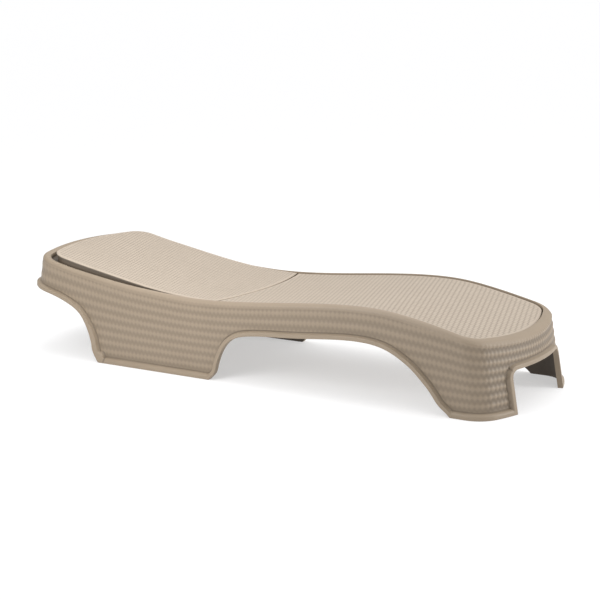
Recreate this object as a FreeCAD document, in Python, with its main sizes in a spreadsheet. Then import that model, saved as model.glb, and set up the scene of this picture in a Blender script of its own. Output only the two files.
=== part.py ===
import FreeCAD, Part
import math
import os

# Moulded sun lounger with a folding backrest, in millimetres.
# +X runs toward the foot end, +Y to the user's left, +Z up.
# The origin is on the ground, below the middle of the lounger.

V = FreeCAD.Vector
X_AXIS = V(1, 0, 0)
Y_AXIS = V(0, 1, 0)
Z_AXIS = V(0, 0, 1)

# Driving sizes
SIZES = (
    # whole lounger
    ("overall_length", 2058.0),
    ("overall_width", 650.0),
    ("rim_height", 331.0),
    # shell walls and their draft
    ("shell_wall", 5.0),
    ("side_draft_share", 0.04),
    ("head_draft_share", 0.178),
    ("foot_draft_share", 0.16),
    ("head_bow_radius", 816.0),
    ("foot_bow_radius", 620.0),
    ("head_corner_radius", 96.0),
    ("foot_corner_radius", 85.0),
    # rim, recess wall and ledge
    ("rim_width", 16.0),
    ("head_rim_width", 43.0),
    ("rim_radius", 20.0),
    ("recess_depth", 16.0),
    ("recess_wall", 4.0),
    ("ledge_width", 20.0),
    ("ledge_thickness", 4.0),
    # lip along the lower edges, and the bead round the feet
    ("lip_projection", 14.0),
    ("lip_band", 16.0),
    ("bead_height", 28.0),
    ("foot_opening_half_width", 177.0),
    ("foot_opening_height", 145.0),
    ("foot_opening_corner", 30.0),
    # seat deck and backrest panel
    ("edge_gap", 4.0),
    ("head_gap", 23.0),
    ("deck_sink", 6.0),
    ("skin_thickness", 4.5),
    ("edge_flange", 4.0),
    ("panel_edge_depth", 10.0),
    ("deck_edge_radius", 3.0),
    ("panel_edge_radius", 5.0),
    ("seam_bow", 45.0),
    ("seam_gap", 4.0),
    ("seat_clearance", 0.3),
    ("rib_thickness", 3.0),
    ("deck_rib_depth", 16.0),
    ("panel_rib_depth", 11.0),
    ("frame_ring_width", 12.0),
    ("frame_gap", 0.5),
    ("boss_radius", 5.0),
    # cross beams under the deck
    ("beam_width", 36.0),
    ("beam_height", 30.0),
    ("beam_wall", 2.5),
    ("beam_end_gap", 1.5),
    ("shelf_length", 18.0),
    ("shelf_thickness", 4.0),
    ("shelf_margin", 4.0),
    # backrest hinge
    ("hinge_depth", 10.0),
    ("hinge_pin_radius", 3.0),
    ("ear_radius", 5.2),
    ("bush_radius", 5.0),
    ("bush_length", 13.0),
    ("bush_flange_radius", 7.0),
    ("bush_flange_thickness", 1.5),
    ("running_clearance", 0.05),
    ("hinge_notch", 28.0),
    # prop and its pivots
    ("prop_length", 320.0),
    ("pivot_depth", 31.0),
    ("pivot_pin_radius", 4.0),
    ("pin_head_radius", 6.5),
    ("pin_head_thickness", 2.0),
    ("arm_inset", 45.0),
    ("arm_thickness", 5.0),
    ("arm_width", 16.0),
    ("arm_top_eye_radius", 9.0),
    ("arm_bar_eye_radius", 12.0),
    ("arm_side_clearance", 0.5),
    ("cheek_thickness", 5.0),
    ("block_half_length", 16.0),
    ("block_rib_gap", 2.0),
    ("bar_radius", 8.0),
    ("bar_wall", 1.5),
    ("bar_cap_thickness", 3.0),
    ("bar_cap_spigot", 12.0),
    # ratchet racks
    ("rack_setback", 1.0),
    ("rack_bearing", 16.0),
    ("rack_end_gap", 1.0),
    ("rack_back", 4.0),
    ("rack_height", 29.0),
    ("rack_back_rise", 18.0),
    ("rack_end_margin", 26.0),
    ("crest_clearance", 2.0),
    ("notch_radius", 8.5),
    ("notch_depth", 10.0),
    ("rack_boss_radius", 7.0),
    ("rack_screw_rise", 9.0),
    ("rack_screw_length", 30.0),
    # screws
    ("screw_radius", 2.0),
    ("screw_head_radius", 4.0),
    ("screw_head_thickness", 2.5),
    ("screw_length", 12.0),
    # how far cutting solids run past what they cut
    ("overrun", 30.0),
)

# Places along the lounger, as shares of the overall length from its middle
SEAM_SHARE = -0.0416
HINGE_SHARE = -0.0731
PIVOT_SHARE = -0.2140
BEAM_SHARES = {"cross_beam_seam": -0.0251, "cross_beam_seat": 0.1606, "cross_beam_knee": 0.3328}
DECK_RIB_SHARES = (0.0553, 0.1127, 0.218, 0.2755, 0.3903, 0.4382)
FRAME_RIB_SHARES = (-0.1266, -0.1792, -0.251, -0.3084, -0.3658)
DECK_SCREW_SHARES = (0.0361, 0.2084, 0.3807)
PANEL_SCREW_SHARES = (-0.1457, -0.2797, -0.388)
# The bar lies this high as it slides along the racks, as a share of the rim height
BAR_HEIGHT_SHARE = 0.771
# Ribs across the width, as shares of the recess half width
DECK_LONG_RIB_SHARES = (-0.62, 0.0, 0.62)
# The four reclining positions of the backrest, in degrees
STOP_ANGLES = (15.0, 30.0, 45.0, 60.0)
RAMP_ANGLE = 30.0
# Shares of other sizes: the loft's top of the rim height, screws of a rack's length and of
# a pivot block's half length, and the backrest frame's screw tabs of a boss's radius
LOFT_TOP_SHARE = 1.4
RACK_SCREW_SHARE = 0.125
BLOCK_SCREW_SHARE = 0.6
TAB_REACH_SHARE = 1.4

# Side profiles: (share of overall length, share of rim height)
RIM_CREST_SHARES = (
    (-0.5600, 1.2714), (-0.4903, 1.1959), (-0.4013, 1.0709), (-0.3333, 0.9981), (-0.2558, 0.9298),
    (-0.1773, 0.8873), (-0.1013, 0.8650), (-0.0347, 0.8762), (0.0569, 0.9210), (0.1545, 0.9763),
    (0.2321, 1.0000), (0.2809, 0.9911), (0.3393, 0.9388), (0.3977, 0.8611), (0.4465, 0.7874),
    (0.5547, 0.6329),
)
PANEL_TOP_SHARES = (
    (-0.5600, 1.2874), (-0.4903, 1.2330), (-0.4252, 1.1774), (-0.3764, 1.1132), (-0.3238, 1.0513),
    (-0.2654, 0.9852), (-0.2070, 0.9249), (-0.1486, 0.8810), (-0.0902, 0.8597), (-0.0366, 0.8583),
    (0.0074, 0.8666),
)
HEAD_EDGE_SHARES = (
    (-0.5598, 0.9154), (-0.5000, 0.8399), (-0.4603, 0.7785), (-0.4354, 0.7411), (-0.4078, 0.6952),
    (-0.3848, 0.6435), (-0.3553, 0.5311), (-0.3484, 0.4789), (-0.3381, 0.3655), (-0.3312, 0.2460),
    (-0.3272, 0.1285), (-0.3155, 0.0000), (-0.3069, -0.1185),
)
ARCH_EDGE_SHARES = (
    (-0.0771, -0.1185), (-0.0651, 0.0000), (-0.0520, 0.0863), (-0.0481, 0.1566), (-0.0369, 0.3343),
    (-0.0270, 0.4207), (-0.0135, 0.4849), (0.0203, 0.5432), (0.1008, 0.5833), (0.1670, 0.6205),
    (0.2418, 0.6446), (0.2880, 0.6044), (0.3167, 0.5251), (0.3394, 0.4327), (0.3592, 0.3223),
    (0.3759, 0.2118), (0.3898, 0.1044), (0.4101, 0.0000), (0.4197, -0.1185),
)

doc = FreeCAD.newDocument("sun_lounger")
sheet = doc.addObject("Spreadsheet::Sheet", "sizes")
for row, (alias, value) in enumerate(SIZES, start=1):
    sheet.set(f"A{row}", alias)
    sheet.set(f"B{row}", str(value))
    sheet.setAlias(f"B{row}", alias)
doc.recompute()


def size(alias):
    """A driving size read back from the sheet."""
    return float(sheet.get(alias))


length = size("overall_length")
width = size("overall_width")
rim_height = size("rim_height")
wall = size("shell_wall")
lip = size("lip_projection")
overrun = size("overrun")
clearance = size("seat_clearance")
running = size("running_clearance")
skin = size("skin_thickness")

# Heights between which the drafted walls are lofted
loft_bottom = 0.0
loft_top = LOFT_TOP_SHARE * rim_height

wall_half = width / 2 - lip
recess_half = wall_half - size("side_draft_share") * rim_height - size("rim_width")
panel_half = recess_half - size("edge_gap")
opening_half = recess_half - size("ledge_width")
seam_x = SEAM_SHARE * length
hinge_x = HINGE_SHARE * length
pivot_x = PIVOT_SHARE * length

sub_parts = []

# How often a search for a place on a curve halves its range
HALVINGS = 50


def moulding(name, shape):
    """A sub-part whose shape is worked out here, as one solid or a group of solids."""
    feature = doc.addObject("Part::Feature", name)
    feature.Label = name
    solids = shape.Solids
    feature.Shape = solids[0] if len(solids) == 1 else Part.makeCompound(solids)
    feature.Placement = FreeCAD.Placement()
    sub_parts.append(feature)
    return feature


# Curves and outlines

def profile_curve(shares, drop=0.0):
    """A side profile through its shares, lowered by drop, at the right edge of the work space."""
    curve = Part.BSplineCurve()
    curve.interpolate([V(x * length, -width, z * rim_height - drop) for x, z in shares])
    return curve


def height_at(shares, x, drop=0.0):
    """The height of a side profile at one place along the lounger."""
    curve = profile_curve(shares, drop)
    low, high = curve.FirstParameter, curve.LastParameter
    for _ in range(HALVINGS):
        middle = (low + high) / 2
        if curve.value(middle).x < x:
            low = middle
        else:
            high = middle
    return curve.value(low).z


def across(wire):
    """The solid swept by a closed side profile over the whole width."""
    return Part.Face(wire).extrude(Y_AXIS * (2 * width))


def polyline(points):
    """Straight edges through the points, left open."""
    return [Part.LineSegment(a, b).toShape() for a, b in zip(points, points[1:])]


def below(shares, drop=0.0):
    """Everything under a side profile, down to past the ground."""
    curve = profile_curve(shares, drop)
    start, end = curve.StartPoint, curve.EndPoint
    floor = -overrun
    lines = polyline([end, V(end.x, end.y, floor), V(start.x, start.y, floor), start])
    return across(Part.Wire([curve.toShape()] + lines))


def between(shares, low_drop, high_drop):
    """The band between one side profile lowered by two amounts."""
    low, high = profile_curve(shares, low_drop), profile_curve(shares, high_drop)
    ends = [Part.LineSegment(high.EndPoint, low.EndPoint).toShape(),
            Part.LineSegment(low.StartPoint, high.StartPoint).toShape()]
    return across(Part.Wire(Part.__sortEdges__([low.toShape(), high.toShape()] + ends)))


def offset_points(shares, distance, count):
    """Points beside a side profile, moved along its normal to the left of its direction."""
    curve = profile_curve(shares)
    first, last = curve.FirstParameter, curve.LastParameter
    points = []
    for step in range(count + 1):
        u = first + (last - first) * step / count
        along = curve.tangent(u)[0]
        points.append(curve.value(u) + V(-along.z, 0, along.x) * distance)
    return points


def rounded_outline(z, half, head_x, foot_x, grow):
    """A closed plan outline with straight sides, bowed ends and round corners.

    grow widens the bows and corners that belong to the outer wall.
    """
    def end(tip, bow, corner, way):
        run = math.sqrt((bow - corner) ** 2 - (half - corner) ** 2)
        centre_x = tip - way * (bow - run)
        reach = bow / (bow - corner)
        touch = (tip - way * (bow - run * reach), (half - corner) * reach)
        turn = (math.pi / 2 + math.atan2(half - corner, run)) / 2
        middle = (centre_x + way * corner * math.cos(turn), half - corner + corner * math.sin(turn))
        return centre_x, touch, middle

    foot_side, foot_touch, foot_mid = end(
        foot_x, size("foot_bow_radius") + grow, size("foot_corner_radius") + grow, 1)
    head_side, head_touch, head_mid = end(
        head_x, size("head_bow_radius") + grow, size("head_corner_radius") + grow, -1)

    def at(point, side):
        return V(point[0], side * point[1], z)

    edges = [
        Part.LineSegment(V(head_side, -half, z), V(foot_side, -half, z)),
        Part.Arc(V(foot_side, -half, z), at(foot_mid, -1), at(foot_touch, -1)),
        Part.Arc(at(foot_touch, -1), V(foot_x, 0, z), at(foot_touch, 1)),
        Part.Arc(at(foot_touch, 1), at(foot_mid, 1), V(foot_side, half, z)),
        Part.LineSegment(V(foot_side, half, z), V(head_side, half, z)),
        Part.Arc(V(head_side, half, z), at(head_mid, 1), at(head_touch, 1)),
        Part.Arc(at(head_touch, 1), V(head_x, 0, z), at(head_touch, -1)),
        Part.Arc(at(head_touch, -1), at(head_mid, -1), V(head_side, -half, z)),
    ]
    return Part.Wire([edge.toShape() for edge in edges])


# Where the end walls stand at ground level, so that the lips reach the overall length
head_edge_height = height_at(HEAD_EDGE_SHARES, -length / 2)
head_wall_x = -(length / 2 - lip) - size("head_draft_share") * head_edge_height
foot_wall_x = length / 2 - lip + size("foot_draft_share") * size("foot_opening_height")


def drafted_block(grow):
    """The drafted outer form of the walls, grown outward by an amount."""
    wires = []
    for z in (loft_bottom, loft_top):
        wires.append(rounded_outline(
            z,
            wall_half - size("side_draft_share") * z + grow,
            head_wall_x + size("head_draft_share") * z - grow,
            foot_wall_x - size("foot_draft_share") * z + grow,
            grow))
    return Part.makeLoft(wires, True, True)


def recess_column(grow, head_gap=0.0):
    """An upright column with the plan outline of the recess, grown by an amount.

    head_gap moves its head end further in.
    """
    head_x = head_wall_x + size("head_draft_share") * rim_height + size("head_rim_width")
    head_x += head_gap - grow
    foot_x = foot_wall_x - size("foot_draft_share") * rim_height - size("rim_width") + grow
    wire = rounded_outline(loft_bottom, recess_half + grow, head_x, foot_x, grow - size("rim_width"))
    return Part.Face(wire).extrude(Z_AXIS * loft_top)


def top_loop(solid):
    """The edges round the upper face, which are rounded."""
    def flatness(face):
        u0, u1, v0, v1 = face.ParameterRange
        return abs(face.normalAt((u0 + u1) / 2, (v0 + v1) / 2).z) * face.Area
    largest = max(flatness(face) for face in solid.Faces)
    broad = [face for face in solid.Faces if flatness(face) > largest / 2]
    return max(broad, key=lambda face: face.CenterOfMass.z).Edges


def rounded_under(block, shares, drop, radius):
    """A block cut off under a side profile, with its upper edge rounded."""
    solid = block.common(below(shares, drop)).Solids[0]
    return solid.makeFillet(radius, top_loop(solid)).Solids[0]


def box(x0, x1, y0, y1, z0, z1):
    """A plain block between two corners."""
    return Part.makeBox(x1 - x0, y1 - y0, z1 - z0, V(x0, y0, z0))


def rod_y(radius, y0, y1, x, z):
    """A cylinder along the width."""
    return Part.makeCylinder(radius, y1 - y0, V(x, y0, z), Y_AXIS)


def mirrored(shape):
    """The same shape on the other side of the middle."""
    return shape.mirror(V(0, 0, 0), Y_AXIS)


def side_of(shape, side):
    """A shape made for the left side, or its mirror image for the right."""
    return shape if side > 0 else mirrored(shape)


def inner_wall_y(z):
    """How far out the inner face of the side wall is at a height."""
    return wall_half - size("side_draft_share") * z - wall


# Heights that several pieces share

hinge_z = height_at(PANEL_TOP_SHARES, hinge_x, size("hinge_depth"))
pivot_z = height_at(PANEL_TOP_SHARES, pivot_x, size("pivot_depth"))
bar_z = BAR_HEIGHT_SHARE * rim_height
bar_half = opening_half + size("rack_setback") + size("rack_bearing")
arm_y = panel_half - size("arm_inset")


def bar_place(angle):
    """The bar's place along the lounger when the backrest stands at an angle in degrees."""
    reach = math.hypot(pivot_x - hinge_x, pivot_z - hinge_z)
    rise = math.radians(angle) + math.atan2(pivot_z - hinge_z, hinge_x - pivot_x)
    drop = hinge_z + reach * math.sin(rise) - bar_z
    return hinge_x - reach * math.cos(rise) - math.sqrt(size("prop_length") ** 2 - drop ** 2)


bar_x = bar_place(0.0)
rack_crest_z = bar_z - size("bar_radius") - size("crest_clearance")


def beam_top(share):
    """The height of a cross beam's flat top, just under the deck's ribs over its width."""
    reach = size("beam_width") / 2
    drop = size("deck_sink") + skin + size("deck_rib_depth")
    sides = [height_at(RIM_CREST_SHARES, share * length + way * reach, drop) for way in (-1, 1)]
    return min(sides) - clearance


# Body shell: side and end walls, rim, recess, ledge, lips and feet in one moulding

def lower_cuts():
    """What is open under the head end, under the seat and in the foot end."""
    head = profile_curve(HEAD_EDGE_SHARES)
    start, end = head.StartPoint, head.EndPoint
    floor = -2 * overrun - rim_height
    head_cut = across(Part.Wire([head.toShape()] + polyline(
        [end, V(end.x, end.y, floor), V(start.x, start.y, floor), start])))
    arch = profile_curve(ARCH_EDGE_SHARES)
    start, end = arch.StartPoint, arch.EndPoint
    arch_cut = across(Part.Wire([arch.toShape()] + polyline([end, start])))
    return head_cut, arch_cut


def foot_opening(grow):
    """The opening in the foot end, with round upper corners, grown by an amount."""
    half = size("foot_opening_half_width") + grow
    top = size("foot_opening_height") + grow
    corner = size("foot_opening_corner") + grow
    block = box(length / 2 - size("foot_corner_radius"), length / 2 + overrun, -half, half, -overrun, top)
    upper = [edge for edge in block.Edges
             if abs(edge.CenterOfMass.z - top) < clearance and abs(edge.CenterOfMass.y) > half - clearance]
    return block.makeFillet(corner, upper)


def edge_band(shares):
    """The strip along one lower edge where the lip stands out."""
    edge = profile_curve(shares)
    outer = Part.BSplineCurve()
    outer.interpolate(offset_points(shares, size("lip_band"), 2 * len(shares)))
    ends = [Part.LineSegment(edge.EndPoint, outer.EndPoint).toShape(),
            Part.LineSegment(outer.StartPoint, edge.StartPoint).toShape()]
    return across(Part.Wire(Part.__sortEdges__([edge.toShape(), outer.toShape()] + ends)))


def rim_and_ledge(outer):
    """The wall down from the rim and the ledge that carries the deck and the backrest."""
    ledge_drop = size("recess_depth") + size("ledge_thickness")
    column = recess_column(0.0)
    ring = recess_column(size("recess_wall")).cut(column)
    upright = ring.common(outer).cut(below(RIM_CREST_SHARES, ledge_drop))
    ledge = column.cut(recess_column(-size("ledge_width"), size("head_gap")))
    ledge = ledge.common(between(RIM_CREST_SHARES, ledge_drop, size("recess_depth")))
    notch = size("hinge_notch")
    for side in (-1, 1):
        middle = side * recess_half
        ledge = ledge.cut(box(hinge_x - notch, hinge_x + notch,
                              middle - 2 * notch, middle + 2 * notch, loft_bottom, loft_top))
    return upright.fuse(ledge)


def wall_bosses():
    """Shelves for the beam ends and bosses for the racks, standing on the inner wall faces."""
    pieces = []
    reach = size("beam_width") / 2 + size("shelf_margin")
    for share in BEAM_SHARES.values():
        top = beam_top(share) - size("beam_height") - clearance
        low = top - size("shelf_thickness")
        out = inner_wall_y(top) + wall / 2
        x = share * length
        pieces.append(box(x - reach, x + reach, out - wall / 2 - size("shelf_length"), out, low, top))
    back = bar_half + size("rack_end_gap") + size("bar_cap_thickness") + size("rack_back") + clearance
    tip = rack_screw_head_y() + size("rack_screw_length") + clearance
    wall_middle = inner_wall_y(rack_screw_z) + wall / 2
    for x in rack_screw_places():
        boss = rod_y(size("rack_boss_radius"), back, wall_middle, x, rack_screw_z)
        pieces.append(boss.cut(rod_y(size("screw_radius") + running, back, tip, x, rack_screw_z)))
    return pieces + [mirrored(piece) for piece in pieces]


rack_screw_z = rack_crest_z - size("rack_height") + size("rack_screw_rise")
rack_head_x = bar_x - size("rack_end_margin")
rack_foot_x = bar_place(STOP_ANGLES[-1]) + size("rack_end_margin")


def rack_screw_places():
    """Two screws in each rack, one near each end."""
    inset = RACK_SCREW_SHARE * (rack_foot_x - rack_head_x)
    return (rack_head_x + inset, rack_foot_x - inset)


def body_shell():
    outer = rounded_under(drafted_block(0.0), RIM_CREST_SHARES, 0.0, size("rim_radius"))
    inner = rounded_under(drafted_block(-wall), RIM_CREST_SHARES, wall, size("rim_radius") - wall)
    shell = outer.cut(inner).cut(recess_column(0.0))
    shell = shell.fuse(rim_and_ledge(outer))
    head_cut, arch_cut = lower_cuts()
    skirt = drafted_block(lip).cut(drafted_block(-wall))
    opening = foot_opening(0.0)
    foot_frame = foot_opening(size("lip_band")).cut(opening)
    bead = box(-length, length, -width, width, loft_bottom, size("bead_height"))
    bands = [edge_band(HEAD_EDGE_SHARES), edge_band(ARCH_EDGE_SHARES), foot_frame, bead]
    for band in bands:
        shell = shell.fuse(skirt.common(band))
    shell = shell.fuse(wall_bosses())
    shell = shell.cut([head_cut, arch_cut, opening])
    shell = shell.cut(box(-length, length, -width, width, -2 * rim_height, loft_bottom))
    tip = recess_half - size("bush_flange_thickness") + size("bush_length") + clearance
    bush_hole = rod_y(size("bush_radius") + running, recess_half - overrun / 2, tip, hinge_x, hinge_z)
    holes = [bush_hole, mirrored(bush_hole)]
    holes += screw_holes(deck_screw_places(), size("screw_radius") + clearance)
    holes += screw_holes(beam_screw_places(), size("screw_radius") + clearance)
    return shell.cut(holes)


# Screws, all fitted from below or from inside

def screw(x, y, z, way, long):
    """A pan-head screw: its head's seat is at the point, and its shank runs along way."""
    point = V(x, y, z)
    head = Part.makeCylinder(size("screw_head_radius"), size("screw_head_thickness"), point, way * -1)
    return head.fuse(Part.makeCylinder(size("screw_radius"), long, point, way)).removeSplitter()


def screw_holes(places, radius):
    """Round holes up through whatever lies over each screw's seat."""
    return [Part.makeCylinder(radius, size("screw_length") + clearance, V(x, y, z - clearance), Z_AXIS)
            for x, y, z in places]


def deck_screw_places():
    """Under the ledge, on both sides of the deck."""
    drop = size("recess_depth") + size("ledge_thickness") + clearance
    y = opening_half + size("ledge_width") / 2 - size("edge_gap")
    reach = size("screw_head_radius")
    places = []
    for share in DECK_SCREW_SHARES:
        x = share * length
        z = min(height_at(RIM_CREST_SHARES, x + way * reach, drop) for way in (-1, 1))
        places += [(x, -y, z), (x, y, z)]
    return places


def panel_screw_places():
    """Under the tabs of the backrest frame, inside its ring."""
    y = panel_half - size("edge_flange") - size("frame_ring_width") - 2 * size("boss_radius")
    drop = skin + size("panel_rib_depth") + size("rib_thickness") + 2 * clearance
    reach = size("screw_head_radius")
    places = []
    for share in PANEL_SCREW_SHARES:
        x = share * length
        z = min(height_at(PANEL_TOP_SHARES, x + way * reach, drop) for way in (-1, 1))
        places += [(x, -y, z), (x, y, z)]
    return places


def beam_screw_places():
    """Under the shelves at the beam ends."""
    places = []
    for share in BEAM_SHARES.values():
        top = beam_top(share) - size("beam_height") - clearance
        y = inner_wall_y(top) - size("shelf_length") / 2
        z = top - size("shelf_thickness") - clearance
        places += [(share * length, -y, z), (share * length, y, z)]
    return places


def rack_screw_head_y():
    """The seat of a rack screw's head, sunk in the toothed side of the rack."""
    return bar_half - size("rack_bearing") + size("screw_head_thickness") + clearance


# Deck and backrest

def seam_column(gap):
    """Everything on the foot side of the seam, whose arc bows toward the foot end."""
    x = seam_x + gap
    bow = size("seam_bow")
    half = recess_half
    start, end = V(x - bow, -half, 0), V(x - bow, half, 0)
    arc = Part.Arc(start, V(x, 0, 0), end).toShape()
    lines = polyline([end, V(x - bow, width, 0), V(length, width, 0), V(length, -width, 0),
                      V(x - bow, -width, 0), start])
    return Part.Face(Part.Wire([arc] + lines)).extrude(Z_AXIS * loft_top)


def deck_column(inset):
    """The plan of the deck, inset on every side."""
    return recess_column(-size("edge_gap") - inset).common(seam_column(size("seam_gap") / 2 + inset))


def panel_column(inset):
    """The plan of the backrest panel, inset on every side."""
    plan = recess_column(-size("edge_gap") - inset, size("head_gap"))
    return plan.cut(seam_column(-size("seam_gap") / 2 - inset))


def rounded_slab(slab, radius):
    """A slab's one solid, with the edges round its upper face rounded."""
    solid = slab.Solids[0]
    return solid.makeFillet(radius, top_loop(solid)).Solids[0]


def boss(x, y, radius):
    """An upright round column."""
    return Part.makeCylinder(radius, loft_top, V(x, y, 0), Z_AXIS)


def seat_deck():
    sink = size("deck_sink")
    flange_drop = size("recess_depth") - clearance
    rib_drop = sink + skin + size("deck_rib_depth")
    slab = deck_column(0.0).common(between(RIM_CREST_SHARES, flange_drop, sink))
    slab = rounded_slab(slab, size("deck_edge_radius"))
    hollow = deck_column(size("edge_flange")).common(below(RIM_CREST_SHARES, sink + skin))
    deck = slab.cut(hollow)
    rib_space = deck_column(size("edge_flange") / 2).common(recess_column(-size("ledge_width") - clearance))
    rib_space = rib_space.common(between(RIM_CREST_SHARES, rib_drop, sink + skin / 2))
    thick = size("rib_thickness") / 2
    ribs = []
    for share in DECK_LONG_RIB_SHARES:
        y = share * recess_half
        ribs.append(box(-length, length, y - thick, y + thick, loft_bottom, loft_top))
    for share in DECK_RIB_SHARES:
        x = share * length
        ribs.append(box(x - thick, x + thick, -width, width, loft_bottom, loft_top))
    deck = deck.fuse([rib.common(rib_space) for rib in ribs])
    boss_space = between(RIM_CREST_SHARES, flange_drop, sink + skin / 2)
    bosses = [boss(x, y, size("boss_radius")) for x, y, _ in deck_screw_places()]
    deck = deck.fuse([column.common(boss_space) for column in bosses])
    return deck.cut(screw_holes(deck_screw_places(), size("screw_radius") + running)).removeSplitter()


def backrest_panel():
    slab = panel_column(0.0).common(between(PANEL_TOP_SHARES, size("panel_edge_depth"), 0.0))
    slab = rounded_slab(slab, size("panel_edge_radius"))
    panel = slab.cut(panel_column(size("edge_flange")).common(below(PANEL_TOP_SHARES, skin)))
    boss_space = between(PANEL_TOP_SHARES, skin + size("panel_rib_depth"), skin / 2)
    bosses = [boss(x, y, size("boss_radius")) for x, y, _ in panel_screw_places()]
    panel = panel.fuse([column.common(boss_space) for column in bosses])
    pin_hole = rod_y(size("hinge_pin_radius") + clearance, panel_half - overrun / 2,
                     panel_half + overrun / 2, hinge_x, hinge_z)
    cuts = screw_holes(panel_screw_places(), size("screw_radius") + running)
    return panel.cut(cuts + [pin_hole, mirrored(pin_hole)])


def frame_ring_faces():
    """The outer and inner faces of the frame's ring, out from the middle."""
    outer = panel_half - size("edge_flange") - size("frame_gap")
    return outer - size("frame_ring_width"), outer


def backrest_frame():
    """The ribbed frame under the backrest panel, which rests on the ledge."""
    outset = size("edge_flange") + size("frame_gap")
    outline = panel_column(outset)
    core = panel_column(outset + size("frame_ring_width"))
    under_skin = below(PANEL_TOP_SHARES, skin + clearance)
    over_ledge = below(RIM_CREST_SHARES, size("recess_depth") - clearance)
    ring = outline.cut(core).common(under_skin).cut(over_ledge)
    rib_space = panel_column(outset + size("frame_ring_width") / 2).common(
        between(PANEL_TOP_SHARES, skin + size("panel_rib_depth"), skin + clearance))
    thick = size("rib_thickness") / 2
    ribs = []
    for share in FRAME_RIB_SHARES:
        x = share * length
        ribs.append(box(x - thick, x + thick, -width, width, loft_bottom, loft_top))
    for side in (-1, 1):
        y = side * block_rib_y
        ribs.append(box(-length, length, y - thick, y + thick, loft_bottom, loft_top))
    frame = ring.fuse([rib.common(rib_space) for rib in ribs])
    frame = frame.cut([boss(x, y, size("boss_radius") + clearance) for x, y, _ in panel_screw_places()])
    tab_drop = skin + size("panel_rib_depth") + clearance
    tab_space = between(PANEL_TOP_SHARES, tab_drop + size("rib_thickness"), tab_drop)
    inner, outer = frame_ring_faces()
    reach = TAB_REACH_SHARE * size("boss_radius")
    tabs = []
    for x, y, _ in panel_screw_places():
        tab = box(x - reach, x + reach, abs(y) - reach, inner + clearance, loft_bottom, loft_top)
        tabs.append(side_of(tab.common(tab_space), y))
    frame = frame.fuse(tabs)
    cuts = screw_holes(panel_screw_places(), size("screw_radius") + clearance)
    for side in (-1, 1):
        ear = rod_y(size("ear_radius"), inner, outer, hinge_x, hinge_z)
        frame = frame.fuse(side_of(ear, side))
        cuts.append(side_of(rod_y(size("hinge_pin_radius") + running, inner - overrun, outer + overrun,
                                  hinge_x, hinge_z), side))
        for x in block_screw_places():
            cuts.append(side_of(rod_y(size("screw_radius") + clearance, block_rib_y - overrun / 2,
                                      block_rib_y + overrun / 2, x, block_screw_z), side))
    return frame.cut(cuts)


# Prop pivot blocks, under the backrest

cheek_half = size("arm_thickness") / 2 + size("arm_side_clearance") + size("cheek_thickness")
block_rib_y = arm_y - cheek_half - clearance - size("rib_thickness") / 2
block_screw_z = height_at(PANEL_TOP_SHARES, pivot_x, skin + size("panel_rib_depth") / 2)


def block_screw_places():
    """Two screws on each side of a pivot."""
    step = BLOCK_SCREW_SHARE * size("block_half_length")
    return (pivot_x - step, pivot_x + step)


def pivot_block():
    """The left clevis block: two cheeks under a base, with a slot for the prop's arm."""
    half = size("block_half_length")
    body = box(pivot_x - half, pivot_x + half, arm_y - cheek_half, arm_y + cheek_half, pivot_z, loft_top)
    body = body.common(below(PANEL_TOP_SHARES, skin + clearance))
    body = body.fuse(rod_y(half, arm_y - cheek_half, arm_y + cheek_half, pivot_x, pivot_z))
    slot_half = size("arm_thickness") / 2 + size("arm_side_clearance")
    slot_top = pivot_z + size("arm_top_eye_radius") + size("block_rib_gap")
    slot = box(pivot_x - 2 * half, pivot_x + 2 * half, arm_y - slot_half, arm_y + slot_half,
               pivot_z - 2 * half, slot_top)
    body = body.cut(slot)
    bore = rod_y(size("pivot_pin_radius") + running, arm_y - 2 * cheek_half, arm_y + 2 * cheek_half,
                 pivot_x, pivot_z)
    cuts = [bore]
    for x in block_screw_places():
        cuts.append(rod_y(size("screw_radius") + running, arm_y - 2 * cheek_half,
                          block_rib_y + size("screw_length"), x, block_screw_z))
    return body.cut(cuts)


# Ratchet racks

def ratchet_rack():
    """The left rack: four notches with a round bottom, a stop face and a ramp."""
    inner = bar_half - size("rack_bearing")
    outer = bar_half + size("rack_end_gap") + size("bar_cap_thickness")
    low = rack_crest_z - size("rack_height")
    radius = size("notch_radius")
    centre_z = rack_crest_z - size("notch_depth") + radius
    ramp = math.radians(RAMP_ANGLE)
    rack = box(rack_head_x, rack_foot_x, inner, outer, low, rack_crest_z)
    for angle in STOP_ANGLES:
        x = bar_place(angle)
        foot_of_ramp = V(x + radius * math.sin(ramp), inner, centre_z - radius * math.cos(ramp))
        climb = rack_crest_z + overrun - foot_of_ramp.z
        top_of_ramp = V(foot_of_ramp.x + climb / math.tan(ramp), inner, rack_crest_z + overrun)
        stop_low = V(x - radius, inner, centre_z)
        stop_top = V(x - radius, inner, rack_crest_z + overrun)
        lowest = V(x, inner, centre_z - radius)
        edges = [Part.Arc(stop_low, lowest, foot_of_ramp).toShape()]
        edges += polyline([foot_of_ramp, top_of_ramp, stop_top, stop_low])
        rack = rack.cut(Part.Face(Part.Wire(edges)).extrude(Y_AXIS * (outer - inner)))
    back = box(rack_head_x, rack_foot_x, outer, outer + size("rack_back"),
               low, rack_crest_z + size("rack_back_rise"))
    rack = rack.fuse(back).removeSplitter()
    cuts = []
    for x in rack_screw_places():
        cuts.append(rod_y(size("screw_radius") + clearance, inner, outer + 2 * size("rack_back"),
                          x, rack_screw_z))
        cuts.append(rod_y(size("screw_head_radius") + clearance, inner, rack_screw_head_y(),
                          x, rack_screw_z))
    return rack.cut(cuts)


# Pieces made from primitives whose sizes are bound to the sheet

derived_rows = []


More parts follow.
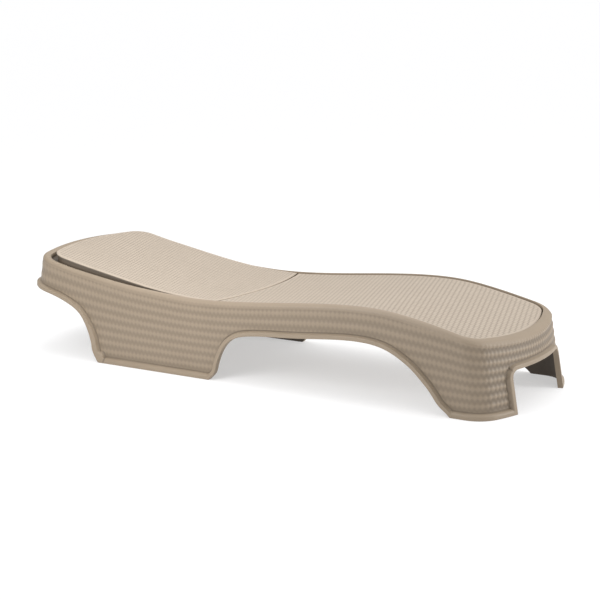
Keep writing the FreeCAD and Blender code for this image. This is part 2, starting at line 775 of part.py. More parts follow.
def derived(alias, value):
    """Put a worked-out size into the sheet, so that features can be bound to it."""
    derived_rows.append(alias)
    row = len(derived_rows)
    sheet.set(f"D{row}", alias)
    sheet.set(f"E{row}", str(value))
    sheet.setAlias(f"E{row}", alias)
    sheet.recompute()


def primitive(kind, name, bindings, place=V(), turn=FreeCAD.Rotation()):
    """A Part primitive whose properties follow formulas on the sheet."""
    feature = doc.addObject(kind, name)
    for prop, formula in bindings.items():
        feature.setExpression(prop, formula)
    feature.Placement = FreeCAD.Placement(place, turn)
    return feature


def cylinder(name, radius, height, place=V(), turn=FreeCAD.Rotation()):
    return primitive("Part::Cylinder", name, {"Radius": radius, "Height": height}, place, turn)


def joined(name, pieces):
    """Several features fused into one."""
    feature = doc.addObject("Part::MultiFuse", name)
    feature.Shapes = pieces
    return feature


def less(name, base, tool):
    """One feature with another cut out of it."""
    feature = doc.addObject("Part::Cut", name)
    feature.Base = base
    feature.Tool = tool
    return feature


def finished(feature, name, place=V(), turn=FreeCAD.Rotation()):
    """Name a bound feature as a sub-part and put it in its place."""
    feature.Label = name
    feature.Placement = FreeCAD.Placement(place, turn)
    sub_parts.append(feature)


ALONG_Y = FreeCAD.Rotation(X_AXIS, -90)
ALONG_MINUS_Y = FreeCAD.Rotation(X_AXIS, 90)


def outward(side):
    """The turn that points a primitive's height away from the middle."""
    return ALONG_Y if side > 0 else ALONG_MINUS_Y


def cross_beam(name, share):
    """A rectangular tube across the shell, screwed down on a shelf at each end."""
    top = beam_top(share)
    half = inner_wall_y(top) - size("beam_end_gap")
    derived(name + "_span", 2 * half)
    tube = primitive("Part::Box", name + "_outside", {
        "Length": "sizes.beam_width", "Width": f"sizes.{name}_span", "Height": "sizes.beam_height"})
    hollow = primitive("Part::Box", name + "_inside", {
        "Length": "sizes.beam_width - 2 * sizes.beam_wall",
        "Width": f"sizes.{name}_span",
        "Height": "sizes.beam_height - 2 * sizes.beam_wall"}, V(size("beam_wall"), 0, size("beam_wall")))
    hole_y = inner_wall_y(top - size("beam_height") - clearance) - size("shelf_length") / 2
    holes = [cylinder(f"{name}_hole_{index}", "sizes.screw_radius + sizes.running_clearance",
                      "2 * sizes.beam_wall",
                      V(size("beam_width") / 2, half + way * hole_y, -size("beam_wall")))
             for index, way in enumerate((-1, 1))]
    beam = less(name, tube, joined(name + "_cuts", [hollow] + holes))
    finished(beam, name, V(share * length - size("beam_width") / 2, -half, top - size("beam_height")))


def hinge_bush(side, word):
    """A flanged bush in the recess wall, in which a hinge pin turns."""
    name = "hinge_bush_" + word
    flange = cylinder(name + "_flange", "sizes.bush_flange_radius", "sizes.bush_flange_thickness")
    sleeve = cylinder(name + "_sleeve", "sizes.bush_radius", "sizes.bush_length")
    bore = cylinder(name + "_bore", "sizes.hinge_pin_radius + sizes.running_clearance", "sizes.bush_length")
    bush = less(name, joined(name + "_body", [flange, sleeve]), bore)
    start = recess_half - size("bush_flange_thickness")
    finished(bush, name, V(hinge_x, side * start, hinge_z), outward(side))


def hinge_pin(side, word):
    """A steel pin held in the backrest frame's ear and turning in the bush."""
    name = "hinge_pin_" + word
    inner, outer = frame_ring_faces()
    finished(cylinder(name, "sizes.hinge_pin_radius", "sizes.hinge_pin_length"), name,
             V(hinge_x, side * inner, hinge_z), outward(side))


def pivot_pin(side, word):
    """A headed pin through the clevis block and the eye of the prop's arm."""
    name = "pivot_pin_" + word
    shank = cylinder(name + "_shank", "sizes.pivot_pin_radius",
                     "sizes.pivot_pin_length + sizes.pin_head_thickness")
    head = cylinder(name + "_head", "sizes.pin_head_radius", "sizes.pin_head_thickness",
                    V(0, 0, size("pivot_pin_length")))
    start = arm_y - cheek_half
    finished(joined(name, [shank, head]), name, V(pivot_x, side * start, pivot_z), outward(side))


def prop_arm(side, word):
    """A flat arm with an eye at the pivot and a larger eye round the bar."""
    name = "prop_arm_" + word
    half_thick = size("arm_thickness") / 2
    strap = primitive("Part::Box", name + "_strap", {
        "Length": "sizes.prop_length", "Width": "sizes.arm_thickness", "Height": "sizes.arm_width"},
        V(-size("prop_length"), -half_thick, -size("arm_width") / 2))
    top_place = V(0, -half_thick, 0)
    bar_end = V(-size("prop_length"), -half_thick, 0)
    thick = "sizes.arm_thickness"
    eyes = [cylinder(name + "_top_eye", "sizes.arm_top_eye_radius", thick, top_place, ALONG_Y),
            cylinder(name + "_bar_eye", "sizes.arm_bar_eye_radius", thick, bar_end, ALONG_Y)]
    bores = [cylinder(name + "_pin_bore", "sizes.pivot_pin_radius + sizes.running_clearance",
                      "sizes.arm_thickness", top_place, ALONG_Y),
             cylinder(name + "_bar_bore", "sizes.bar_radius + sizes.running_clearance",
                      "sizes.arm_thickness", bar_end, ALONG_Y)]
    arm = less(name, joined(name + "_plate", [strap] + eyes), joined(name + "_bores", bores))
    lean = math.degrees(math.asin((bar_z - pivot_z) / size("prop_length")))
    finished(arm, name, V(pivot_x, side * arm_y, pivot_z), FreeCAD.Rotation(Y_AXIS, lean))


def prop_bar():
    """The round tube that lies in the notches of both racks."""
    tube = cylinder("prop_bar_outside", "sizes.bar_radius", "sizes.bar_span")
    hollow = cylinder("prop_bar_inside", "sizes.bar_radius - sizes.bar_wall", "sizes.bar_span")
    finished(less("prop_bar", tube, hollow), "prop_bar", V(bar_x, -bar_half, bar_z), ALONG_Y)


def bar_cap(side, word):
    """A plastic plug in the end of the bar."""
    name = "bar_cap_" + word
    disc = cylinder(name + "_disc", "sizes.bar_radius", "sizes.bar_cap_thickness")
    spigot = cylinder(name + "_spigot", "sizes.bar_radius - sizes.bar_wall - sizes.running_clearance",
                      "sizes.bar_cap_spigot", V(0, 0, -size("bar_cap_spigot")))
    finished(joined(name, [disc, spigot]), name, V(bar_x, side * bar_half, bar_z), outward(side))


def screw_group(name, screws):
    """Screws of one kind, each a solid of its own."""
    moulding(name, Part.makeCompound(screws))


def all_screws():
    up = Z_AXIS
    long = size("screw_length")
    screw_group("deck_screws", [screw(x, y, z, up, long) for x, y, z in deck_screw_places()])
    screw_group("panel_screws", [screw(x, y, z, up, long) for x, y, z in panel_screw_places()])
    screw_group("beam_screws", [screw(x, y, z, up, long) for x, y, z in beam_screw_places()])
    rack_screws = []
    block_screws = []
    head_y = block_rib_y - size("rib_thickness") / 2 - clearance
    for side in (-1, 1):
        for x in rack_screw_places():
            rack_screws.append(screw(x, side * rack_screw_head_y(), rack_screw_z, Y_AXIS * side,
                                     size("rack_screw_length")))
        for x in block_screw_places():
            block_screws.append(screw(x, side * head_y, block_screw_z, Y_AXIS * side, long))
    screw_group("rack_screws", rack_screws)
    screw_group("block_screws", block_screws)


moulding("body_shell", body_shell())
moulding("seat_deck", seat_deck())
moulding("backrest_panel", backrest_panel())
moulding("backrest_frame", backrest_frame())
bush_tip = recess_half - size("bush_flange_thickness") + size("bush_length")
derived("hinge_pin_length", bush_tip - frame_ring_faces()[0])
derived("pivot_pin_length", 2 * cheek_half)
derived("bar_span", 2 * bar_half)
for side, word in ((1, "left"), (-1, "right")):
    moulding("pivot_block_" + word, side_of(pivot_block(), side))
    moulding("ratchet_rack_" + word, side_of(ratchet_rack(), side))
    hinge_bush(side, word)
    hinge_pin(side, word)
    pivot_pin(side, word)
    prop_arm(side, word)
    bar_cap(side, word)
prop_bar()
for name, share in BEAM_SHARES.items():
    cross_beam(name, share)
all_screws()
doc.recompute()

# Nothing is written unless every feature worked and every sub-part is a sound shape
for feature in doc.Objects:
    if "Invalid" in feature.State or "Error" in feature.State:
        raise RuntimeError(f"{feature.Name} failed: {feature.State}")
for part in sub_parts:
    if part.Shape.isNull() or not part.Shape.isValid() or not part.Shape.Solids:
        raise RuntimeError(f"{part.Label} has no sound shape")

os.makedirs("parts", exist_ok=True)
for part in sub_parts:
    part.Shape.exportStep(os.path.join("parts", part.Label + ".step"))
    print(part.Label, "solids", len(part.Shape.Solids), "litres", round(part.Shape.Volume / 1e6, 4))
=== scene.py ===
"""A moulded sun lounger with a woven relief and a tilting backrest, dressed for its render.

Every length is in metres. +X runs toward the foot end, +Y to the left of someone lying
down, +Z up, and the origin is on the ground under the middle of the lounger.
"""
import math

import bpy
import numpy as np
from mathutils import Matrix, Vector


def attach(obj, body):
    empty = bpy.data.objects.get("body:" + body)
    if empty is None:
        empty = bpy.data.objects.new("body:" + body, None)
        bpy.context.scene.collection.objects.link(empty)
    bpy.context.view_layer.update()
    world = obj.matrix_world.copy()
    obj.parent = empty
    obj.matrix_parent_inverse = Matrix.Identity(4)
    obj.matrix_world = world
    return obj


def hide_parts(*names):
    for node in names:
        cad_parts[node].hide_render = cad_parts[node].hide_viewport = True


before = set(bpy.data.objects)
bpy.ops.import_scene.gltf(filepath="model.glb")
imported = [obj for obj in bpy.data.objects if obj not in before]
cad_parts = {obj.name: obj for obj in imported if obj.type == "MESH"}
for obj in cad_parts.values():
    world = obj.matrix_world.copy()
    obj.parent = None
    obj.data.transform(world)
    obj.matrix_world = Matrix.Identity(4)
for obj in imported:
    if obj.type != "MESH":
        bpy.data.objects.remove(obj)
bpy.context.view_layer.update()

# The whole lounger and its wall
LENGTH = 2.058
WIDTH = 0.650
RIM = 0.331
WALL = 0.005

# Lean of the walls over their height, and the ends' bow and corner radii, at head (-1) and foot (1)
SIDE_DRAFT = 0.04
END_DRAFT = {-1: 0.178, 1: 0.16}
BOW = {-1: 0.816, 1: 0.620}
CORNER = {-1: 0.096, 1: 0.085}

# The head's wall stands back by this, so that its lip stays within the lounger's length
HEAD_SETBACK = 0.0002

# The rim and its roundings, wider at the head, where it grows over a run beside the corner
RIM_WIDTH = 0.016
HEAD_RIM = 0.043
HEAD_RIM_RUN = (0.10, 0.001)
RIM_ROUND = 0.020
RIM_INNER_ROUND = 0.002
RIM_SKIN = 0.007

# The recess inside the rim, and the ledge that the deck lies on, with its notch for the hinge
RECESS = 0.016
RECESS_WALL = 0.004
LEDGE = 0.020
LEDGE_DEEP = 0.004
LEDGE_IN_NOTCH = 0.0003
HINGE_X = -0.0731 * LENGTH
HINGE_NOTCH = 0.028
NOTCH_FADE = 0.002

# The wall's inner face ends this far under the outer rounding's beginning
INNER_TOP = 0.001

# Foot opening; its upright sides are drawn out of columns within a small angle
OPENING_HALF = 0.177
OPENING_TOP = 0.145
OPENING_CORNER = 0.030
OPENING_BRINK = 0.0012
OPENING_COLUMNS = 24
OPENING_ARC_POINTS = 12

# Lip along the lower edges: its reach, full band, fading band and edge rounding, what it
# is wider by at the head leg and between which heights that fades, and the legs' corners
LIP = 0.014
LIP_BAND = 0.0135
LIP_FADE = 0.0050
LIP_ROUND = 0.003
HEAD_LIP = 0.009
HEAD_LIP_FADE = (0.08, 0.20)
CORNER_ROUND = 0.016

# Bead round the feet, and the disc where the overhang's lip ends on the ground
BEAD_MIDDLE = 0.010
BEAD_HALF = 0.0115
NUB_AHEAD = 0.008
NUB_Z = 0.020
NUB_RADIUS = 0.017
NUB_FADE = 0.006

# Painted shade lines of the grooves: middle and half width of the one along the lip and the one
# over the bead, with where each begins, then the same of the one round the disc, and how dark the painted
# shade is
LIP_GROOVE = 0.0200
BEAD_GROOVE = 0.0235
GROOVE_WIDTH = 0.0030
LIP_GROOVE_START = (0.017, 0.022)
BEAD_GROOVE_START = (0.014, 0.019)
NUB_GROOVE = 0.0235
NUB_GROOVE_WIDTH = 0.0040
NUB_GROOVE_START = (0.0, 0.012)
GROOVE_SHADE = 1.3

# How dark the painted shade is in the gaps round deck and panel, and on the rounding of their edge
GAP_SHADE = 2.0
GAP_SHADE_EDGE = 0.5

# The shell's weave: the cell's pitch along the rows, the middle of the lowest row, how far
# the middle of the top row lies under the crest at the head and at the foot, and between
# which places it changes; then the relief's height and how much of it lies under the wall
CELL = 0.0175
LOW_ROW = 0.0455
TOP_ROW = (0.0345, 0.0150)
TOP_ROW_FALL = (0.60, 0.92)
ROW_STEPS = 7
RELIEF = 0.0016
RELIEF_SINK = 0.3

# Where the weave grows in: off the lip, off the ground and under the crest
WEAVE_OFF_LIP = (0.0185, 0.0230)
WEAVE_OFF_GROUND = (0.0215, 0.0270)
WEAVE_UNDER_RIM = (0.0080, 0.0120)

# How far a wall's direction toward the foot makes the weave bolder, and how much painted shade goes into
# the weave's hollows where it is bolder and on the rim
FOOT_FACING = (0.55, 0.95)
BOLD_SHADE = 0.5
RIM_SHADE = 0.6

# Heights of the basket weave's parts, and the powers of its row sine
BASKET_FLOOR = 0.15
BASKET_RIDGE = 0.45
BASKET_STRAND = 0.40
RIDGE_POWER = 5
STRAND_POWER = 0.7

# Deck and backrest panel: gaps, sink, skin and flange
EDGE_GAP = 0.004
HEAD_GAP = 0.023
DECK_SINK = 0.006
SKIN = 0.0045
FLANGE = 0.004
FLANGE_ROUND = 0.001
DECK_EDGE_ROUND = 0.003
DECK_FLANGE_DEEP = 0.0097
PANEL_EDGE_ROUND = 0.005
PANEL_FLANGE_DEEP = 0.010

# The seam between them
SEAM_BOW = 0.045
SEAM_X = -0.0416 * LENGTH
SEAM_GAP = 0.0075

# Their weave: pitch along a line and the shift from line to line, the lines' pitch, the
# relief, how much of it lies under the top, where it grows in, and its pads' form
DECK_WEAVE = (0.0171, 1 / 3)
PANEL_WEAVE = (0.0135, 1 / 3)
TWILL_LINE = 0.0166
DECK_RELIEF = 0.0012
DECK_RELIEF_SINK = 0.5
WEAVE_OFF_EDGE = (0.0085, 0.0125)
PAD_RISE = 1.25
PAD_ALONG_POWER = 0.45
PAD_ACROSS_POWER = 0.30

# Columns, rows and steps of the meshes
LINE_POINTS = 1500
SIDE_COLUMNS = 690
SIDE_ROWS = 92
FOOT_ROWS = 84
HEAD_ROWS = 56
RIM_STEPS = 16
INNER_STEPS = 5
QUARTER_TURN = np.radians([30, 60, 90])
END_STEP = 0.0026
TOP_STEP = 0.0026
DECK_COLUMNS = 405
PANEL_COLUMNS = 320
FINE_BORDER = 0.09
FINE_ROWS = 13
SHARP_ANGLE = math.radians(45)

# The side walls' columns stand closer where the lower edge is steep: by a weight times its
# slope, which counts up to a most and is read in fine steps along one height
STEEP_WEIGHT = 0.5
STEEPEST = 3
SLOPE_HEIGHT = 0.1
SLOPE_STEPS = 4000

# Heights where a search begins and where the ends' outlines are measured, and how
# finely angles of columns are told apart
START_HEIGHT = 0.2
SETTLE_STEPS = 8
END_HEIGHT = 0.15
ANGLE_DIGITS = 7
ANGLE_SLACK = 1e-6

# Every so many points of a line are enough to measure a distance to it, and lines of
# edges that stand on the ground go on below it
EDGE_SKIP = 8
BORDER_SKIP = 3
EDGE_UNDER_GROUND = 0.01
OPENING_UNDER_GROUND = 0.05

# Side profiles as pairs: along the lounger over its length, and height over the rim's
RIM_CREST = (
    (-0.5600, 1.2714), (-0.4903, 1.1959), (-0.4013, 1.0709), (-0.3333, 0.9981), (-0.2558, 0.9298),
    (-0.1773, 0.8873), (-0.1013, 0.8650), (-0.0347, 0.8762), (0.0569, 0.9210), (0.1545, 0.9763),
    (0.2321, 1.0000), (0.2809, 0.9911), (0.3393, 0.9388), (0.3977, 0.8611), (0.4465, 0.7874),
    (0.5547, 0.6329),
)
PANEL_TOP = (
    (-0.5600, 1.2874), (-0.4903, 1.2330), (-0.4252, 1.1774), (-0.3764, 1.1132), (-0.3238, 1.0513),
    (-0.2654, 0.9852), (-0.2070, 0.9249), (-0.1486, 0.8810), (-0.0902, 0.8597), (-0.0366, 0.8583),
    (0.0074, 0.8666),
)
HEAD_EDGE = (
    (-0.5598, 0.9154), (-0.5000, 0.8399), (-0.4603, 0.7785), (-0.4354, 0.7411), (-0.4078, 0.6952),
    (-0.3848, 0.6435), (-0.3553, 0.5311), (-0.3484, 0.4789), (-0.3381, 0.3655), (-0.3312, 0.2460),
    (-0.3272, 0.1285), (-0.3155, 0.0000), (-0.3069, -0.1185),
)
ARCH_EDGE = (
    (-0.0771, -0.1185), (-0.0651, 0.0000), (-0.0520, 0.0863), (-0.0481, 0.1566), (-0.0369, 0.3343),
    (-0.0270, 0.4207), (-0.0135, 0.4849), (0.0203, 0.5432), (0.1008, 0.5833), (0.1670, 0.6205),
    (0.2418, 0.6446), (0.2880, 0.6044), (0.3167, 0.5251), (0.3394, 0.4327), (0.3592, 0.3223),
    (0.3759, 0.2118), (0.3898, 0.1044), (0.4101, 0.0000), (0.4197, -0.1185),
)


# Curves

def smooth_line(pairs):
    """A natural cubic spline through the pairs, read at even steps of its chord length."""
    points = np.array(pairs) * (LENGTH, RIM)
    knots = np.concatenate([[0], np.cumsum(np.hypot(*np.diff(points, axis=0).T))])
    step = np.diff(knots)
    size = len(knots)
    system = np.eye(size)
    right = np.zeros((size, 2))
    for i in range(1, size - 1):
        system[i, i - 1:i + 2] = step[i - 1], 2 * (step[i - 1] + step[i]), step[i]
        right[i] = 6 * ((points[i + 1] - points[i]) / step[i] - (points[i] - points[i - 1]) / step[i - 1])
    bend = np.linalg.solve(system, right)
    where = np.linspace(0, knots[-1], LINE_POINTS)
    i = np.clip(np.searchsorted(knots, where) - 1, 0, size - 2)
    h = step[i][:, None]
    a = (knots[i + 1] - where)[:, None] / h
    b = 1 - a
    return (a * points[i] + b * points[i + 1]
            + ((a ** 3 - a) * bend[i] + (b ** 3 - b) * bend[i + 1]) * h ** 2 / 6)


crest_line = smooth_line(RIM_CREST)
panel_line = smooth_line(PANEL_TOP)
head_edge = smooth_line(HEAD_EDGE)
arch_edge = smooth_line(ARCH_EDGE)

HEAD_TIP = HEAD_SETBACK - (LENGTH / 2 - LIP) - END_DRAFT[-1] * float(np.interp(-LENGTH / 2, *head_edge.T))
FOOT_TIP = LENGTH / 2 - LIP + END_DRAFT[1] * OPENING_TOP
NUB_X = float(np.interp(0, head_edge[::-1, 1], head_edge[::-1, 0])) + NUB_AHEAD


def crest(x):
    """Height of the rim's crest."""
    return np.interp(x, *crest_line.T)


def panel_top(x):
    """Height of the backrest panel's top."""
    return np.interp(x, *panel_line.T)


def deck_top(x):
    """Height of the deck's top, sunk under the rim's crest."""
    return crest(x) - DECK_SINK


def lower_edge(x):
    """Height of the side wall's lower edge: the overhang, the arch, or the ground between them."""
    return np.maximum(0, np.maximum(np.interp(x, *head_edge.T, right=-1),
                                    np.interp(x, *arch_edge.T, left=-1, right=-1)))


def distance_to(px, pz, line):
    """Distance from each point to a line of short straight runs, the least over all runs."""
    best = np.full(np.shape(px), LENGTH)
    for (x0, z0), (x1, z1) in zip(line[:-1], line[1:]):
        dx, dz = x1 - x0, z1 - z0
        share = np.clip(((px - x0) * dx + (pz - z0) * dz) / (dx * dx + dz * dz), 0, 1)
        best = np.minimum(best, np.hypot(px - x0 - share * dx, pz - z0 - share * dz))
    return best


def smooth_step(x, low, high):
    """0 below low, 1 above high, and three squares less two cubes between."""
    t = np.clip((x - low) / (high - low), 0, 1)
    return t * t * (3 - 2 * t)


def faded(distance, full, fade):
    """1 up to a full distance, then half a cosine down to 0 over the fade."""
    return 0.5 + 0.5 * np.cos(np.pi * np.clip((distance - full) / fade, 0, 1))


def bell(distance, middle, width):
    """A bell curve: e to the minus square of the distance from its middle over its width."""
    return np.exp(-((distance - middle) / width) ** 2)


# Plan of the walls

def half_width(z):
    """Half the width over the side walls, which lean in with height."""
    return WIDTH / 2 - LIP - SIDE_DRAFT * z


def end_parts(z, way, inset=0.0):
    """Tip, run between the centres of bow and corner, half the distance of the two corners'
    centres, and the radii of bow and corner, for an end at a height."""
    tip = (FOOT_TIP if way > 0 else HEAD_TIP) - way * (END_DRAFT[way] * z + inset)
    bow, corner = BOW[way] - inset, CORNER[way] - inset
    rise = half_width(z) - inset - corner
    return tip, np.sqrt((bow - corner) ** 2 - rise ** 2), rise, bow, corner


def corner_x(z, way):
    """Where the straight side ends and the corner begins."""
    tip, run, _, bow, _ = end_parts(z, way)
    return tip - way * (bow - run)


def side_plan(t, z):
    """The right wall: x runs evenly between the two corners, y is the half width, facing -Y."""
    x_head = corner_x(z, -1)
    x = x_head + t * (corner_x(z, 1) - x_head)
    return x, -half_width(z) + 0 * x, 0 * x, 0 * x - 1


def end_plan(angle, z, way):
    """An end wall by the angle of its outward direction: centre plus radius, on bow or corner."""
    tip, run, rise, bow, corner = end_parts(z, way)
    on_bow = np.abs(angle) < np.arctan2(rise, run)
    radius = np.where(on_bow, bow, corner)
    centre_x = tip - way * np.where(on_bow, bow, bow - run)
    centre_y = np.where(on_bow, 0, np.sign(angle) * rise)
    nx, ny = way * np.cos(angle), np.sin(angle)
    return centre_x + radius * nx, centre_y + radius * ny, nx + 0 * z, ny + 0 * z


def settle(plan, height_at):
    """The height where a column meets a curve, found by reading the curve at the last place again."""
    z = np.full_like(plan(START_HEIGHT)[0], START_HEIGHT)
    for _ in range(SETTLE_STEPS):
        z = height_at(plan(z)[0])
    return z


# Lip, bead and weave on the outer walls

def bead_share(z):
    """The half-round bead round the feet: the root of one less the square of the height in it."""
    return np.sqrt(np.clip(1 - (np.maximum(z - BEAD_MIDDLE, 0) / BEAD_HALF) ** 2, 0, 1))


def row_place(x, z):
    """Rows of weave counted down from the rim, evenly from the top row's middle to the lowest row's."""
    fall = smooth_step(x, *TOP_ROW_FALL)
    top = crest(x) - TOP_ROW[0] * (1 - fall) - TOP_ROW[1] * fall
    return (top - z) / (top - LOW_ROW) * ROW_STEPS + 0.5


def foot_facing(nx):
    """How far a place faces the foot end, where the weave is twice as deep."""
    return smooth_step(nx, *FOOT_FACING)


def basket(u, row):
    """Basket weave: upright strands that rise over one row and dip under the next.

    Height is a floor, plus a narrow ridge along each row's middle, a power of the sine over
    the row, plus the strands: a lower power of that sine times half a cosine along the row,
    which changes sides from one row to the next.
    """
    index = np.floor(row)
    band = np.sin(np.pi * (row - index))
    strand = 0.5 + 0.5 * np.cos(2 * np.pi * u / CELL + np.pi * index)
    return BASKET_FLOOR + BASKET_RIDGE * band ** RIDGE_POWER + BASKET_STRAND * band ** STRAND_POWER * strand


def twill(x, y, cell, shift):
    """Flat band weave: pads at every cell, each line of them shifted by a share of a cell.

    Height is a power of half a cosine along times a power of half a cosine across, raised
    and cut off at one, so that the pads are flat.
    """
    line = np.round(y / TWILL_LINE)
    along = 0.5 + 0.5 * np.cos(2 * np.pi * (x / cell + line * shift))
    across = 0.5 + 0.5 * np.cos(2 * np.pi * y / TWILL_LINE)
    return np.clip(PAD_RISE * (along ** PAD_ALONG_POWER) * (across ** PAD_ACROSS_POWER), 0, 1)


def wall_face(x, z, nx, d, along):
    """How a woven wall's face stands out at a distance d from its lower edge.

    Gives the offset, lip, bead or disc plus the weave's relief; the weave's height; how
    much painted shade its hollows get; and the painted shade, dark lines standing for the
    shadow in the grooves beside lip, bead and disc.
    """
    from_nub = np.hypot(x - NUB_X, z - NUB_Z)
    nub = faded(from_nub, NUB_RADIUS, NUB_FADE)
    stand = np.maximum(np.maximum(faded(d, LIP_BAND, LIP_FADE), bead_share(z)), nub)
    mask = smooth_step(d, *WEAVE_OFF_LIP) * smooth_step(z, *WEAVE_OFF_GROUND) * (1 - nub)
    relief = basket(along(x, z), row_place(x, z)) * mask
    # Painted shade: dark lines beside the lip, over the bead and round the disc
    by_lip = bell(d, LIP_GROOVE, GROOVE_WIDTH) * smooth_step(z, *LIP_GROOVE_START)
    by_bead = bell(z, BEAD_GROOVE, GROOVE_WIDTH) * smooth_step(d, *BEAD_GROOVE_START)
    by_nub = bell(from_nub, NUB_GROOVE, NUB_GROOVE_WIDTH) * smooth_step(x - NUB_X, *NUB_GROOVE_START)
    shade_paint = GROOVE_SHADE * np.maximum(np.maximum(by_lip, by_bead) * (1 - nub), by_nub)
    bold = foot_facing(nx)
    offset = LIP * stand + RELIEF * (1 + bold) * (relief - RELIEF_SINK * mask)
    return offset, relief, mask * (1 + BOLD_SHADE * bold), shade_paint


# Meshes

def grid_quads(rows, cols, closed=False):
    """Quads between the points of a grid, whose point (i, j) is number i * cols + j."""
    i, j = np.meshgrid(np.arange(rows - 1), np.arange(cols if closed else cols - 1), indexing="ij")
    after = (j + 1) % cols
    return np.stack([i * cols + j, i * cols + after, (i + 1) * cols + after, (i + 1) * cols + j],
                    -1).reshape(-1, 4)


def volume_inside(points, faces):
    """Signed volume of closed faces: the sum of the fan triangles' triple products over six."""
    total = 0.0
    for face in faces:
        a, b, c = points[face[:, 0]], points[face[:, 1:-1]], points[face[:, 2:]]
        total += float(np.einsum("ijk,ijk->", np.cross(a[:, None] + 0 * b, b), c)) / 6
    return total


def make_piece(name, points, faces, body, materials, uv, painted_shade, tints=None):
    """A mesh from arrays, facing outwards: faces is a list of arrays, each with faces of one size."""
    if volume_inside(points, faces) < 0:
        faces = [face[:, ::-1] for face in faces]
    mesh = bpy.data.meshes.new(name)
    mesh.vertices.add(len(points))
    mesh.vertices.foreach_set("co", np.ascontiguousarray(points, np.float32).ravel())
    corners = np.concatenate([face.ravel() for face in faces]).astype(np.int32)
    sizes = np.concatenate([np.full(len(face), face.shape[1]) for face in faces])
    mesh.loops.add(len(corners))
    mesh.loops.foreach_set("vertex_index", corners)
    mesh.polygons.add(len(sizes))
    mesh.polygons.foreach_set("loop_start", np.concatenate([[0], np.cumsum(sizes)[:-1]]).astype(np.int32))
    if tints is not None:
        mesh.polygons.foreach_set("material_index", tints.astype(np.int32))
    mesh.update(calc_edges=True)
    layer = mesh.uv_layers.new(name="weave")
    layer.data.foreach_set("uv", np.ascontiguousarray(uv[corners], np.float32).ravel())
    # Each point's painted shade, read by the material
    attribute = mesh.attributes.new("painted_shade", "FLOAT", "POINT")
    attribute.data.foreach_set("value", np.ascontiguousarray(painted_shade, np.float32))
    mesh.shade_smooth()
    mesh.set_sharp_from_angle(angle=SHARP_ANGLE)
    for material in materials:
        mesh.materials.append(material)
    piece = bpy.data.objects.new(name, mesh)
    bpy.context.scene.collection.objects.link(piece)
    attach(piece, body)
    return piece


# The shell, one closed band of wall, rim, recess and ledge per side and end

def head_shift(x):
    """How much further the recess's edge stands in at the head end, faded out along the sides."""
    before, past = HEAD_RIM_RUN
    return (HEAD_RIM - RIM_WIDTH) * smooth_step(-x, -corner_x(RIM, -1) - before, -corner_x(RIM, -1) + past)


